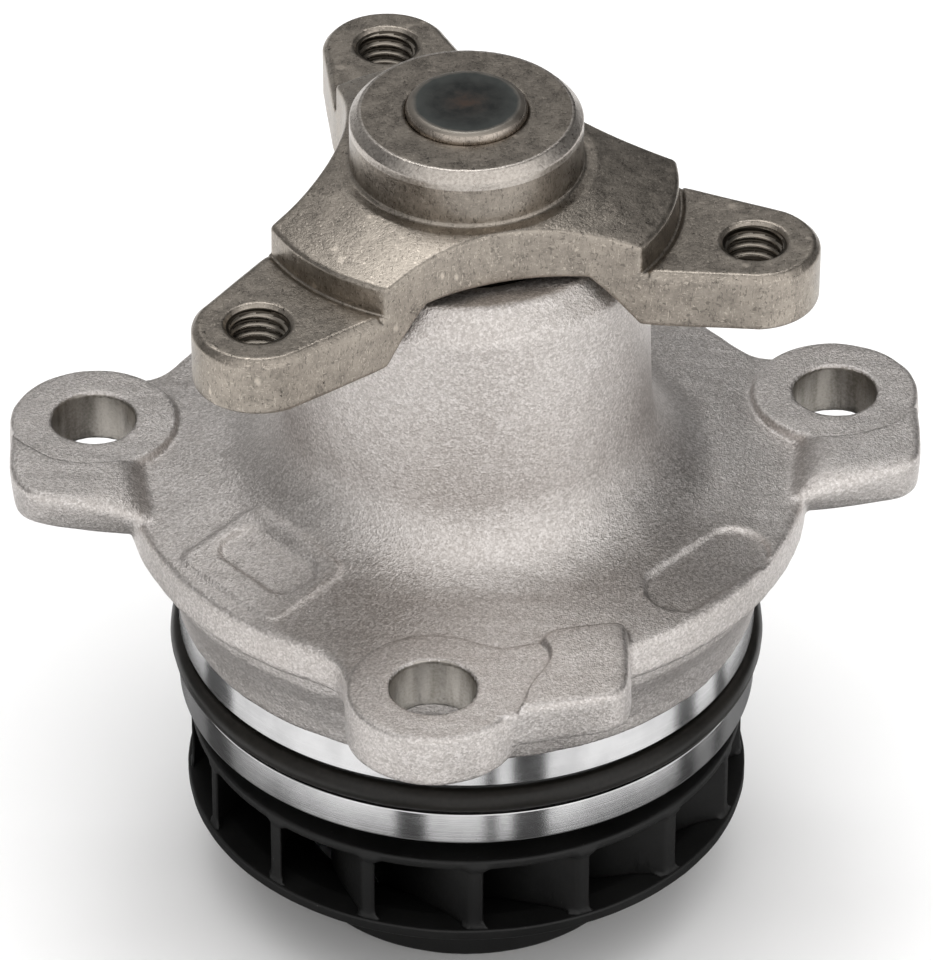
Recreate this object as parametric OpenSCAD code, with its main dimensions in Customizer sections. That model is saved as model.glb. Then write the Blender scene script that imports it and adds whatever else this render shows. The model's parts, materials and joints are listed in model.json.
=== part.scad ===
// Engine coolant pump, driven by a belt. A cast body carries an integral-shaft bearing and a face seal.
// A three-arm hub takes the pulley at one end of the shaft, and a closed impeller sits at the other.
// Millimetres. Z runs along the shaft towards the hub, and Z = 0 is the face that seats on the engine.

/* [Shaft and bearing] */
// Diameter of the integral bearing shaft
shaft_d = 15.918; // [15.8:0.001:16]
// Outside diameter of the bearing ring
ring_d = 30; // [29:0.1:30.5]
// Inside diameter of the bearing ring
ring_bore = 25.6; // [25.4:0.1:25.8]
// Length of the bearing ring
ring_len = 38.9; // [38:0.1:39.5]
// Number of balls
ball_count = 8; // [6:1:8]
// Ball diameter
ball_d = 6.2; // [6:0.05:6.3]
// Number of rollers
roller_count = 11; // [8:1:11]
// Roller length
roller_len = 9; // [7:0.5:9]
// Radial running clearance of balls and rollers
run_gap = 0.05; // [0.03:0.01:0.1]

/* [Pulley hub] */
// Diameter of the boss around the shaft
boss_d = 30.4; // [29:0.1:31]
// Height of the end face of the boss
boss_top = 62.2; // [61.6:0.1:62.4]
// Radius on which the three tapped holes lie
tap_ring_r = 38.3; // [37:0.1:39.5]
// Diameter of each tapped hole across the thread crests
tap_d = 6.8; // [6.4:0.1:7]
// Diameter of the countersink at each tapped hole
tap_sink_d = 9; // [8.6:0.1:9.4]
// Angle of the first arm
hub_turn = -13.8; // [-30:0.1:30]
// Height of the arms' flat pads
pad_top = 48; // [47.5:0.1:48.5]
// Thickness of the arms
arm_t = 8.2; // [7.5:0.1:8.5]
// End radius of each arm
arm_end_r = 8.6; // [8:0.1:9]

/* [Body casting] */
// Diameter of the bearing tower at its top
tower_d = 47.6; // [46:0.1:48]
// Height of the tower
tower_top = 45.5; // [45:0.1:45.6]
// Diameter of the flange
flange_d = 90.6; // [89:0.1:91]
// Height of the flange's rim
rim_h = 5.8; // [5:0.1:6]
// Diameter of the bolt holes in the lugs
lug_hole_d = 11.2; // [10:0.1:11.6]
// Outside radius of each lug
lug_r = 11.3; // [10.8:0.1:11.5]
// Height of the lug pads
lug_h = 7.4; // [7:0.1:7.8]
// Height of the blocks beside the lugs
block_h = 8.6; // [8:0.1:9]
// Diameter of the weep hole
weep_d = 4; // [3:0.5:4]

/* [Spigot] */
// Diameter of the machined land above the O-ring
land_d = 77.68; // [77.6:0.01:77.8]
// Diameter at the bottom of the O-ring groove
groove_d = 73; // [72.8:0.1:73.2]
// Thickness of the O-ring
o_ring_t = 3.6; // [3.5:0.05:3.6]

/* [Impeller] */
// Outside diameter of the impeller's front shroud
impeller_d = 76.2; // [75:0.1:77]
// Outside diameter of the back shroud
back_d = 75; // [74:0.1:75.5]
// Number of vanes
vane_count = 16; // [12:1:16]
// Vane thickness
vane_t = 2; // [1.6:0.1:2.2]
// Angle that each vane sweeps from its inner to its outer edge
vane_sweep = 48; // [30:1:50]
// Angle at which the first vane would end just outside the rim
vane_start = -86.1; // [-90:0.1:-65]
// Outside diameter of the inlet collar
collar_d = 47.8; // [47:0.1:48]

/* [Hidden] */
$fn = 96;
EPS = 0.01;

// Shaft and bearing, from the tower's top down
shaft_r = shaft_d / 2;
shaft_top = 63.5;
shaft_end = -49;
ring_r = ring_d / 2;
bore_r = ring_bore / 2;
ring_top = 44.3;
ring_bottom = ring_top - ring_len;
pitch_r = (shaft_r + bore_r) / 2;
roller_r = (bore_r - shaft_r) / 2 - run_gap;
roller_z = 34;
ball_z = 14;
lip_t = 1.3;
lip_in = 0.9;

// Pulley hub
boss_r = boss_d / 2;
boss_side = boss_top - 2.25;
plate_root = 54.7;
plate_edge = 51.7;
plate_r = 27.6;
plate_under = 46.5;
recess_r = 21.8;
arm_under = pad_top - arm_t;
arm_half_w = 15.2;
scallop_r = 32.4;
scallop_at = 49.7;
side_slope = 9.7;

// Body casting
tower_r = tower_d / 2;
tower_foot_r = tower_r + 0.7;
flange_r = flange_d / 2;
land_r = land_d / 2;
groove_r = groove_d / 2;
land_top = -13.7;
groove_top = -18.5;
groove_low = -23.6;
spigot_end = -28.7;
cavity_r = 32;
cavity_top = -9;
seal_boss_r = 22;
seal_boss_end = -14;
seal_r = 18.2;
drain_r = 13;
lugs = [[-49.9, 7.8], [49.6, 14.1], [-4.3, -50.7]];
// Plan of the block beside each lug: the outline of its foot, then of its top
block_feet = [
    [[-61.2, 7.8], [-61.2, -8.5], [-59.4, -11], [-44.5, -13.6], [-40.5, -12], [-43.4, 2], [-46, 8]],
    [[60.9, 14.1], [61, -1], [59, -3.2], [46, -7.9], [42, -6], [44.4, 8], [46, 14]],
    [[-4.3, -50.7], [8, -37], [21.5, -35.4], [21.8, -50.5], [19.5, -53.4], [7, -58.6], [-4, -61.9]]
];
block_tops = [
    [[-61.1, 7.8], [-60.9, -8], [-59, -10.5], [-43.6, -12.8], [-46.3, -2.1], [-46.3, 6]],
    [[60.8, 14.1], [60.6, -0.6], [58.6, -2.6], [45.4, -5.8], [47.8, 4.8], [49, 12]],
    [[-4.3, -50.7], [9.8, -41.4], [20.2, -38.4], [21.2, -50.3], [19.2, -52.6], [7, -56.2], [4, -58]]
];

// Face seal
seal_seat_z = -16.05;
seal_seat_low = -20.5;

// Impeller
impeller_r = impeller_d / 2;
back_r = back_d / 2;
collar_r = collar_d / 2;
back_top = -32.4;
back_t = 1.4;
back_low = back_top - back_t;
rim_top = -43.75;
rim_low = -45.4;
collar_end = -60;
hub_r = 14.5;
hub_end = -50;
insert_r = 10.5;
vane_in_r = 17.5;
vane_steps = 10;
vane_out_r = back_r + 1;
// Angle between a vane and the radius, the same all along a logarithmic spiral
vane_lean = atan(vane_sweep * PI / 180 / ln(vane_out_r / vane_in_r));
// Upper side of the front shroud, from the rim inwards
shroud_in = [[impeller_r, rim_top], [34.5, rim_top], [29.5, -45.4], [25.4, -48.4], [22.9, -51.4], [22, -54]];
shroud_out = [[23.9, -56], [23.9, -54.6], [24.9, -51.8], [27, -49.2], [30.6, -46.9], [35, rim_low],
    [impeller_r, rim_low]];

// A solid of revolution from an outline of [radius, height] points
module turned(outline) {
    rotate_extrude() polygon(outline);
}

// A plain ring between two radii and two heights
module ring(inner, outer, low, high) {
    turned([[inner, low], [outer, low], [outer, high], [inner, high]]);
}

// Points along an arc about a centre
function arc(cx, cy, r, a0, a1, n) =
    [for (i = [0 : n]) let (a = a0 + (a1 - a0) * i / n) [cx + r * cos(a), cy + r * sin(a)]];

// ---- Body ----

// The turned form of the casting: spigot, neck, flange and bearing tower
module body_turned() {
    fillet_r = 11;
    foot = arc(tower_foot_r + fillet_r, 18.2, fillet_r, 180, 256, 10);
    turned(concat(
        [
            [cavity_r, spigot_end], [land_r - 0.9, spigot_end], [land_r + 0.1, spigot_end + 2.4],
            [land_r + 0.1, groove_low], [groove_r, groove_low], [groove_r, groove_top],
            [land_r, groove_top], [land_r, land_top], [land_r + 0.4, -11.5], [40.6, -7.5],
            [42.8, -3.4], [43.6, 0], [44.4, 0], [flange_r, 1], [flange_r, rim_h - 1.2],
            [flange_r - 0.5, rim_h - 0.3], [flange_r - 1.4, rim_h]
        ],
        [for (i = [len(foot) - 1 : -1 : 0]) foot[i]],
        [
            [tower_r, 41.5], [tower_r - 0.8, 43.2], [20.8, tower_top], [bore_r + 4, tower_top],
            [ring_r, tower_top - 0.8], [ring_r, ring_bottom], [drain_r, ring_bottom], [drain_r, -1],
            [seal_r, -1], [seal_r, seal_boss_end], [seal_boss_r, seal_boss_end],
            [seal_boss_r + 1.5, cavity_top - 1], [cavity_r - 2, cavity_top - 3], [cavity_r, -15]
        ]
    ));
}

// One lug: its round pad and the web that joins it to the flange
module lug(centre) {
    reach = norm(centre);
    translate([centre[0], centre[1], 0]) cylinder(r = lug_r, h = lug_h);
    rotate(atan2(centre[1], centre[0])) linear_extrude(rim_h - 0.1)
        polygon([[reach, lug_r], [34, 19], [34, -19], [reach, -lug_r]]);
}

module block(i) {
    difference() {
        hull() {
            linear_extrude(EPS) polygon(block_feet[i]);
            translate([0, 0, block_h - EPS]) linear_extrude(EPS) polygon(block_tops[i]);
        }
        translate([lugs[i][0], lugs[i][1], lug_h]) cylinder(r = lug_r + 0.2, h = 3);
        translate([0, 0, -1]) cylinder(r = 34, h = 12);
    }
}

// A layer that follows the flange's sloping top, between two heights above it
module flange_skin(low, high) {
    outer_r = flange_r - 1.4;
    turned([
        [32.8, 7.5 + low], [outer_r, rim_h + low], [outer_r, rim_h + high], [32.8, 7.5 + high],
        [29.5, 9 + high], [29.5, 9 + low]
    ]);
}

// A raised blank pad with a sunken middle, where a foundry would put its marks
module label_pad() {
    intersection() {
        flange_skin(-0.5, 0.7);
        translate([-27.2, -24.8, 0]) rotate(-47) difference() {
            linear_extrude(12) square([19, 14], center = true);
            translate([0, 1.5, 0]) linear_extrude(12) square([14, 7], center = true);
        }
    }
}

// A shallow blank recess with round ends, on the other side of the flange
module label_recess() {
    round_r = 4.2;
    intersection() {
        flange_skin(-0.6, 3);
        translate([31.5, -24.2, 0]) rotate(47) linear_extrude(12) {
            square([12, 2 * round_r], center = true);
            for (side = [-1, 1]) translate([side * 6, 0]) circle(r = round_r);
        }
    }
}

module pump_body() {
    color([0.73, 0.72, 0.7]) difference() {
        union() {
            body_turned();
            difference() {
                for (c = lugs) lug(c);
                translate([0, 0, -1]) cylinder(r = 33, h = 12);
            }
            for (i = [0 : len(lugs) - 1]) block(i);
            label_pad();
        }
        label_recess();
        for (c = lugs) translate([c[0], c[1], -1]) cylinder(d = lug_hole_d, h = block_h + 2);
        // Weep hole, from the drain chamber up and out at the back
        translate([0, 11, 0.9]) rotate([-60, 0, 0]) cylinder(d = weep_d, h = 30);
    }
}

module body_o_ring() {
    o_r = o_ring_t / 2;
    color([0.13, 0.11, 0.1]) translate([0, 0, (groove_top + groove_low) / 2])
        rotate_extrude() translate([groove_r + o_r, 0]) circle(r = o_r - EPS, $fn = 48);
}

// ---- Bearing ----

module bearing_outer_ring() {
    color([0.66, 0.67, 0.69]) difference() {
        ring(bore_r, ring_r - EPS, ring_bottom, ring_top);
        translate([0, 0, ball_z]) rotate_extrude() translate([pitch_r, 0]) circle(r = ball_d / 2 + run_gap, $fn = 48);
    }
}

module bearing_shaft() {
    color([0.35, 0.38, 0.4]) difference() {
        turned([
            [0, shaft_end], [shaft_r - 1, shaft_end], [shaft_r, shaft_end + 1], [shaft_r, shaft_top - 0.9],
            [shaft_r - 0.25, shaft_top - 0.3], [shaft_r - 0.76, shaft_top], [0, shaft_top]
        ]);
        translate([0, 0, ball_z]) rotate_extrude() translate([pitch_r, 0]) circle(r = ball_d / 2 + run_gap, $fn = 48);
    }
}

module bearing_balls() {
    color([0.8, 0.8, 0.82]) for (i = [0 : ball_count - 1])
        rotate(i * 360 / ball_count) translate([pitch_r, 0, ball_z]) sphere(d = ball_d, $fn = 48);
}

module bearing_rollers() {
    color([0.8, 0.8, 0.82]) for (i = [0 : roller_count - 1])
        rotate(i * 360 / roller_count) translate([pitch_r, 0, roller_z - roller_len / 2])
            cylinder(r = roller_r, h = roller_len, $fn = 48);
}

// A ring with a pocket for each ball or roller
module cage(low, high) {
    difference() {
        ring(pitch_r - 1, pitch_r + 1, low, high);
        children();
    }
}

module ball_cage() {
    pocket_r = ball_d / 2 + 0.1;
    color([0.86, 0.82, 0.68]) cage(ball_z - 4.4, ball_z + 3.2)
        for (i = [0 : ball_count - 1])
            rotate(i * 360 / ball_count) translate([pitch_r, 0, ball_z]) sphere(r = pocket_r, $fn = 48);
}

module roller_cage() {
    pocket_r = roller_r + 0.08;
    color([0.86, 0.82, 0.68]) cage(roller_z - roller_len / 2 - 1.6, roller_z + roller_len / 2 + 1.6)
        for (i = [0 : roller_count - 1])
            rotate(i * 360 / roller_count) translate([pitch_r, 0, roller_z - roller_len / 2 - 0.1])
                cylinder(r = pocket_r, h = roller_len + 0.2, $fn = 48);
}

// Rubber lip seal in the end of the bearing ring, with its lip just clear of the shaft
module bearing_lip(z, side) {
    lip_r = shaft_r + 0.1;
    color([0.1, 0.1, 0.1]) translate([0, 0, z]) scale([1, 1, side]) turned([
        [lip_r, 0.2], [lip_r + 0.5, 0], [bore_r - EPS, 0], [bore_r - EPS, lip_t],
        [pitch_r + 0.6, lip_t], [pitch_r, lip_t - 0.5], [lip_r + 0.6, lip_t - 0.5], [lip_r, 0.5]
    ]);
}

module bearing_seal_hub_side() {
    bearing_lip(ring_top - lip_in - lip_t, 1);
}

module bearing_seal_pump_side() {
    translate([0, 0, ring_bottom + lip_in]) mirror([0, 0, 1]) translate([0, 0, -lip_t]) bearing_lip(0, 1);
}

// ---- Pulley hub ----

// A point turned about the axis
function turned_point(p, a) = [p[0] * cos(a) - p[1] * sin(a), p[0] * sin(a) + p[1] * cos(a)];

// One arm's outline: from its root on one side, round its end, to its root on the other
function arm_outline() =
    let (root_x = 20, root_y = arm_half_w - root_x * tan(side_slope))
    concat(
        [[root_x, -root_y]],
        arc(tap_ring_r, 0, arm_end_r, side_slope - 90, 90 - side_slope, 24),
        [[root_x, root_y]]
    );

// Plan of the hub: three arms with round ends, and a scalloped middle between them
module hub_plan() {
    difference() {
        polygon([for (i = [0 : 2]) each [for (p = arm_outline()) turned_point(p, hub_turn + 120 * i)]]);
        for (i = [0 : 2]) rotate(hub_turn + 60 + 120 * i) translate([scallop_at, 0]) circle(r = scallop_r);
    }
}

module pulley_hub() {
    far_r = tap_ring_r + arm_end_r + 2;
    color([0.5, 0.47, 0.42]) difference() {
        intersection() {
            translate([0, 0, arm_under - 1]) linear_extrude(boss_top) hub_plan();
            turned([
                [shaft_r, plate_under], [recess_r, plate_under], [plate_r, arm_under], [far_r, arm_under],
                [far_r, pad_top], [plate_r + 0.7, pad_top], [plate_r + 0.5, pad_top - 0.3],
                [plate_r, pad_top - 0.3], [plate_r, plate_edge], [boss_r + 0.9, plate_root - 0.2],
                [boss_r, plate_root + 0.5], [boss_r, boss_side],
                [boss_r - 1.15, boss_top - 0.3], [boss_r - 1.6, boss_top],
                [shaft_r + 0.6, boss_top], [shaft_r, boss_top - 0.6]
            ]);
        }
        for (i = [0 : 2]) rotate(hub_turn + 120 * i) translate([tap_ring_r, 0, 0]) {
            translate([0, 0, arm_under - 1]) cylinder(d = tap_d, h = arm_t + 2);
            translate([0, 0, pad_top - (tap_sink_d - tap_d) / 2])
                cylinder(d1 = tap_d, d2 = tap_sink_d + 1, h = (tap_sink_d - tap_d) / 2 + 0.5);
        }
    }
}

// ---- Face seal ----

// Cup pressed into the body, which holds the spring, the bellows and the carbon ring
module seal_case() {
    wall = 0.7;
    color([0.72, 0.6, 0.35]) turned([
        [11.2, -1.7], [11.2, -1], [seal_r - EPS, -1], [seal_r - EPS, seal_boss_end],
        [21.4, seal_boss_end], [21.4, seal_boss_end - wall], [seal_r - wall, seal_boss_end - wall],
        [seal_r - wall, -1.7]
    ]);
}

// One closed tube swept along a helix
module coil(mean_r, wire_r, low, high, turns) {
    around = 8;
    per_turn = 24;
    rings = turns * per_turn;
    points = [
        for (i = [0 : rings]) let (a = i * 360 / per_turn, z = low + (high - low) * i / rings)
            for (j = [0 : around - 1]) let (b = j * 360 / around, r = mean_r + wire_r * cos(b))
                [r * cos(a), r * sin(a), z + wire_r * sin(b)]
    ];
    sides = [
        for (i = [0 : rings - 1]) for (j = [0 : around - 1]) let (k = (j + 1) % around)
            [i * around + j, (i + 1) * around + j, (i + 1) * around + k, i * around + k]
    ];
    start_cap = [for (j = [0 : around - 1]) j];
    end_cap = [for (j = [around - 1 : -1 : 0]) rings * around + j];
    polyhedron(points = points, faces = concat(sides, [start_cap], [end_cap]));
}

module seal_spring() {
    color([0.75, 0.75, 0.76]) coil(15.9, 0.6, -9.9, -2.4, 5);
}

module seal_bellows() {
    color([0.12, 0.12, 0.12]) turned([
        [9.7, -2], [9.7, -3.4], [12.8, -4.4], [10.2, -6], [13, -7.4], [10.6, -9], [10.6, -10.4],
        [14.6, -10.4], [14.6, -9.4], [11.6, -9], [14.2, -7.4], [11.4, -6], [14, -4.4], [11.2, -3], [11.2, -2]
    ]);
}

module seal_carbon_ring() {
    color([0.16, 0.16, 0.17]) turned([
        [10, -16], [10, -10.5], [16.4, -10.5], [16.4, -13.4], [13, -14.4], [13, -16]
    ]);
}

module seal_seat_ring() {
    color([0.88, 0.86, 0.8]) turned([
        [9.6, seal_seat_low], [14.4, seal_seat_low], [14.4, seal_seat_z], [9.6, seal_seat_z]
    ]);
}

module seal_seat_boot() {
    color([0.1, 0.1, 0.1]) turned([
        [8.9, -22.2], [15.6, -22.2], [15.6, -17.4], [14.4, -17.4], [14.4, seal_seat_low],
        [9.6, seal_seat_low], [9.6, -17.4], [8.9, -17.4]
    ]);
}

module seal_sleeve() {
    color([0.78, 0.78, 0.8]) turned([
        [shaft_r, -23], [16.4, -23], [16.4, -18.4], [15.6, -18.4], [15.6, -22.2], [8.9, -22.2],
        [8.9, -3], [shaft_r, -3]
    ]);
}

// ---- Impeller ----

// Angle of a vane's middle line at a radius
function vane_angle(r) =
    let (share = ln(r / vane_in_r) / ln(vane_out_r / vane_in_r)) vane_sweep * (share - 1);

// One side of a vane, offset sideways by half its thickness
function vane_side(side) = [
    for (i = [0 : vane_steps])
        let (
            r = vane_in_r + (vane_out_r - vane_in_r) * i / vane_steps,
            half = side * vane_t / 2 * (i == 0 ? 0.3 : 1),
            a = vane_angle(r),
            flow = a + vane_lean
        )
        [r * cos(a) + half * cos(flow + 90), r * sin(a) + half * sin(flow + 90)]
];

module vane() {
    near = vane_side(1);
    polygon(concat(vane_side(-1), [for (i = [vane_steps : -1 : 0]) near[i]]));
}

// Back shroud, hub and vanes, moulded in one
module impeller_wheel() {
    color([0.06, 0.06, 0.065]) union() {
        turned([
            [insert_r, hub_end + 1], [hub_r - 1, hub_end], [hub_r, hub_end + 1.5], [hub_r, -38],
            [18, -34.6], [22, back_low], [back_r, back_low], [back_r, back_top], [hub_r, back_top],
            [hub_r - 1, back_top + 1.2], [insert_r, back_top + 1.2]
        ]);
        intersection() {
            translate([0, 0, -56]) linear_extrude(back_top - 0.4 + 56)
                for (i = [0 : vane_count - 1]) rotate(vane_start + i * 360 / vane_count) vane();
            turned(concat([[15, back_low + 0.3], [15, -46]], [[20, -52.4]],
                [for (i = [len(shroud_in) - 2 : -1 : 1]) shroud_in[i]],
                [[back_r, rim_top], [back_r, back_low + 0.3]]));
        }
    }
}

module impeller_front_shroud() {
    color([0.07, 0.07, 0.075]) turned(concat(
        shroud_in,
        [[22, collar_end], [collar_r - 0.5, collar_end], [collar_r, collar_end + 0.5]],
        shroud_out
    ));
}

module impeller_insert() {
    color([0.7, 0.7, 0.72]) ring(shaft_r, insert_r, hub_end + 1.6, back_top + 1.8);
}

pump_body();
body_o_ring();
bearing_outer_ring();
bearing_seal_hub_side();
bearing_seal_pump_side();
bearing_shaft();
pulley_hub();
bearing_rollers();
roller_cage();
bearing_balls();
ball_cage();
seal_case();
seal_spring();
seal_bellows();
seal_carbon_ring();
seal_seat_ring();
seal_seat_boot();
seal_sleeve();
impeller_wheel();
impeller_front_shroud();
impeller_insert();
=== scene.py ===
import json
import math

import bmesh
import bpy
import numpy as np
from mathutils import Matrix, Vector


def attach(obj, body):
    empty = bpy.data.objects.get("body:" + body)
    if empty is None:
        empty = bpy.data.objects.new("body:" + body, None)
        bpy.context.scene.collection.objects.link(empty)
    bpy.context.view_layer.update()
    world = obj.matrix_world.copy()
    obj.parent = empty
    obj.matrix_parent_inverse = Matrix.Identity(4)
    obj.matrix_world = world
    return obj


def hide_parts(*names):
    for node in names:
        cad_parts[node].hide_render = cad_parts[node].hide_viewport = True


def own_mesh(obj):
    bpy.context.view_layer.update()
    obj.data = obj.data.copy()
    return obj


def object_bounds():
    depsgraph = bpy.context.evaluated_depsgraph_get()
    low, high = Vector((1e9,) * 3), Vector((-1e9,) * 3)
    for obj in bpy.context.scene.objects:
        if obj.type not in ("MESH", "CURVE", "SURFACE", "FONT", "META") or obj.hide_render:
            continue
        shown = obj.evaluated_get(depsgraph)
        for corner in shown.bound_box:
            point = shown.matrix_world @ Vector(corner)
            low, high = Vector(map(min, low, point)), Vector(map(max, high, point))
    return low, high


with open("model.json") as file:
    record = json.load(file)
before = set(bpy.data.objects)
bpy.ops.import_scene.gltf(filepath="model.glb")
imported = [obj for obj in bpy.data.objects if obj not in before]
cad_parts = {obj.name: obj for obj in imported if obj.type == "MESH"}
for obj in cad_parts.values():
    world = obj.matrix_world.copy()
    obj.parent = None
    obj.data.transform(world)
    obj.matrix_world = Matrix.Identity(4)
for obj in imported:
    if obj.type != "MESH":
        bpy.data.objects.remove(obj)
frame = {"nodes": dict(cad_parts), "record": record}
cad_low, cad_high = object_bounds()

# This is the visual model of the pump. Detailed meshes take the place of the body, its O-ring, the hub,
# the shaft, the impeller and its shroud. The other CAD pieces stay, with better materials.

# The shape functions work in millimetres in the CAD frame. MM turns them into metres.
MM = 0.001

# ---------------------------------------------------------------- numbers shared by the shapes

# Flange and lugs. The last lug is the front one.
RIM_R = 45.3
RIM_H = 5.8
FLANGE_IN_R = 33
LUGS = [(-49.9, 7.8), (49.6, 14.1), (-4.3, -50.7)]
FRONT_LUG = LUGS[2]
LUG_R = 11.3
LUG_H = 7.4
LUG_BLEND = 9
LUG_NEAR = 34
HOLE_R = 5.6

# The cast block beside each lug: corners at its foot, corners at its top, and single corners (x, y, z)
BLOCK_LOW = 1.5
BLOCK_H = 8.6
BLOCK_FEET = [
    [(-60.8, 5), (-60.2, -6), (-58.4, -8.6), (-45.8, -11.2), (-40, -11), (-38.5, 1), (-46, 6)],
    [(60.6, 11), (60.7, -0.6), (59, -2.9), (46.4, -6), (39, -6.5), (38.5, 2), (44.4, 8), (46, 12)],
    [(4, -57), (6.5, -56), (19.6, -52.8), (21.5, -50.6), (21.5, -35.8), (9.4, -37.5), (5.5, -46)],
]
BLOCK_TOPS = [
    [(-61.2, 5), (-61, -6.5), (-59.6, -9.6), (-57, -11.6), (-50.6, -12.9), (-45.4, -11.8),
     (-44.2, -9.6), (-46.3, -2.1), (-46.3, 6)],
    [(60.9, 11), (60.9, -2), (59.6, -4.1), (52.5, -5.7), (46.2, -6.9), (45.8, -5.6), (46.6, 4.8),
     (49, 12)],
    [(3, -57.4), (6, -57.3), (14.4, -55.4), (19.6, -54.3), (21.3, -51), (21, -39), (19.8, -37.6),
     (10.3, -39.6), (8, -46)],
]
BLOCK_TIPS = [[(-40.4, -15, 6.1)], [(42, -10, 6.1)], []]

# The front lug's pad runs on by this much towards its block
BRIDGE = (13, 4)
BRIDGE_R = 5.3

# Bearing tower: a point on its chamfer (radius, z), that chamfer's outward direction, and the bore
TOWER_EDGE = (23.85, 41.6)
TOWER_SLOPE = (3.5, 2.9)
BORE_R = 15.1

# Label pad with its sunken middle, and the recess, on top of the flange. Sizes are half lengths.
LABEL_AT = (-26.8, -24.4)
LABEL_TURN = math.radians(-48)
LABEL_HALF = (9.4, 6.6)
LABEL_HEIGHT = 0.36
SUNK_SHIFT = 1.1
SUNK_HALF = (7.2, 3.7)
SUNK_DEPTH = 0.5
RECESS_AT = (31.5, -24.2)
RECESS_TURN = math.radians(47)
RECESS_HALF = (10.2, 4.2)
RECESS_DEPTH = 0.62

# Weep hole at the back: where it starts, its direction and its radius
WEEP_AT = (0, 11, 0.9)
WEEP_AXIS = (0, math.cos(math.radians(30)), 0.5)
WEEP_R = 2

# Spigot, with the groove for its O-ring
LAND_R = 38.94
GROOVE_R = 36.5
GROOVE_LOW = -23.2
GROOVE_HIGH = -18.5
O_RING_AT = (GROOVE_R + 1.8, -21)
O_RING_R = 1.73

# Shaft. The crown is pairs of how far in from the side and how far below the end.
SHAFT_R = 7.959
SHAFT_TOP = 63.5
SHAFT_CROWN = [(0.05, 0.95), (0.16, 0.62), (0.34, 0.34), (0.6, 0.14), (0.9, 0.03), (1.06, 0)]
SHAFT_FACE_R = 7.6

# Pulley hub
BOSS_R = 15.2
BOSS_TOP = 62.2
BOSS_CHAMFER = 1.2
HUB_CORE_R = 20
ARM_TURN = -13.8
ARM_ANGLES = [math.radians(ARM_TURN + 120 * i) for i in range(3)]
ARM_END_R = 8.6
ARM_HALF_W = 15.2
ARM_SLOPE = math.radians(9.7)
ARM_UNDER = 39.8
PAD_TOP = 48
PLATE_R = 27.6
SCALLOP_ANGLES = [math.radians(ARM_TURN + 60 + 120 * i) for i in range(3)]
SCALLOP_R = 32.4
SCALLOP_AT = 49.7
TAP_RING_R = 38.3
TAP_R = 4.05
TAP_MOUTH_R = 4.6

# Threads in the hub's tapped holes
THREAD_PITCH = 1.41
THREAD_CREST_R = 3.38
THREAD_DEPTH = 0.66
THREAD_ROOT_R = 3.78
THREAD_OUT_R = 4.2
THREAD_STEPS = 14

# Impeller
BACK_R = 37.5
BACK_TOP = -32.4
BACK_LOW = -33.8
VANE_FOOT = -43.75
VANES = 16
VANE_T = 1.35
VANE_IN_R = 17.5
VANE_OUT_R = 38.5
VANE_SWEEP = math.radians(48)
VANE_START = math.radians(-86.1)

# ---------------------------------------------------------------- distance functions


def smooth_min(a, b, k):
    """The lower of two distances, blended over a width k."""
    t = np.clip(0.5 + 0.5 * (b - a) / k, 0, 1)
    return b + (a - b) * t - k * t * (1 - t)


def smooth_max(a, b, k):
    """The higher of two distances, blended over a width k."""
    return -smooth_min(-a, -b, k)


def ramp(x, low, high):
    """0 below low, 1 above high, smooth between."""
    t = np.clip((x - low) / (high - low), 0, 1)
    return t * t * (3 - 2 * t)


class Lookup:
    """A distance kept on a fine flat grid, and read by blending the four nearest values."""

    def __init__(self, low, step, grid):
        self.low, self.step, self.grid = low, step, grid

    def __call__(self, u, v):
        size = self.grid.shape
        a = np.clip((u - self.low[0]) / self.step, 0, size[0] - 1.001)
        b = np.clip((v - self.low[1]) / self.step, 0, size[1] - 1.001)
        i, j = a.astype(int), b.astype(int)
        a, b = a - i, b - j
        g = self.grid
        near = g[i, j] * (1 - a) + g[i + 1, j] * a
        far = g[i, j + 1] * (1 - a) + g[i + 1, j + 1] * a
        return near * (1 - b) + far * b


def flat_grid(low, count, step):
    """The coordinates of a flat grid's points."""
    return np.meshgrid(*(low[k] + np.arange(count[k]) * step for k in range(2)), indexing="ij")


def outline(points, step=0.1, soften=0, margin=7):
    """Distance to a closed outline, negative inside. Softening rounds its corners."""
    p = np.array(points, float)
    low = p.min(0) - margin
    count = np.ceil((p.max(0) + margin - low) / step).astype(int) + 1
    u, v = flat_grid(low, count, step)
    nearest = np.full(u.shape, 1e9)
    inside = np.zeros(u.shape, bool)
    for a, b in zip(p, np.roll(p, -1, 0)):
        e = b - a
        t = np.clip(((u - a[0]) * e[0] + (v - a[1]) * e[1]) / (e @ e), 0, 1)
        nearest = np.minimum(nearest, (u - a[0] - t * e[0]) ** 2 + (v - a[1] - t * e[1]) ** 2)
        if a[1] != b[1]:
            crossing = (a[1] <= v) != (b[1] <= v)
            inside ^= crossing & (u < a[0] + (v - a[1]) / e[1] * e[0])
    grid = np.sqrt(nearest) * np.where(inside, -1, 1)
    for _ in range(soften):
        for axis in (0, 1):
            g = np.moveaxis(grid, axis, 0)
            g[1:-1] = (g[:-2] + 2 * g[1:-1] + g[2:]) / 4
    return Lookup(low, step, grid)


def waves(p, length, seed):
    """Smooth unevenness between about -1 and 1, made of sine waves in fixed directions."""
    rng = np.random.default_rng(seed)
    total = 0
    for _ in range(6):
        direction = rng.normal(size=3)
        direction *= 2 * math.pi / length / np.linalg.norm(direction) * rng.uniform(0.6, 1.5)
        total = total + np.sin(p @ direction + rng.uniform(0, 6.28))
    return total / 3


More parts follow.
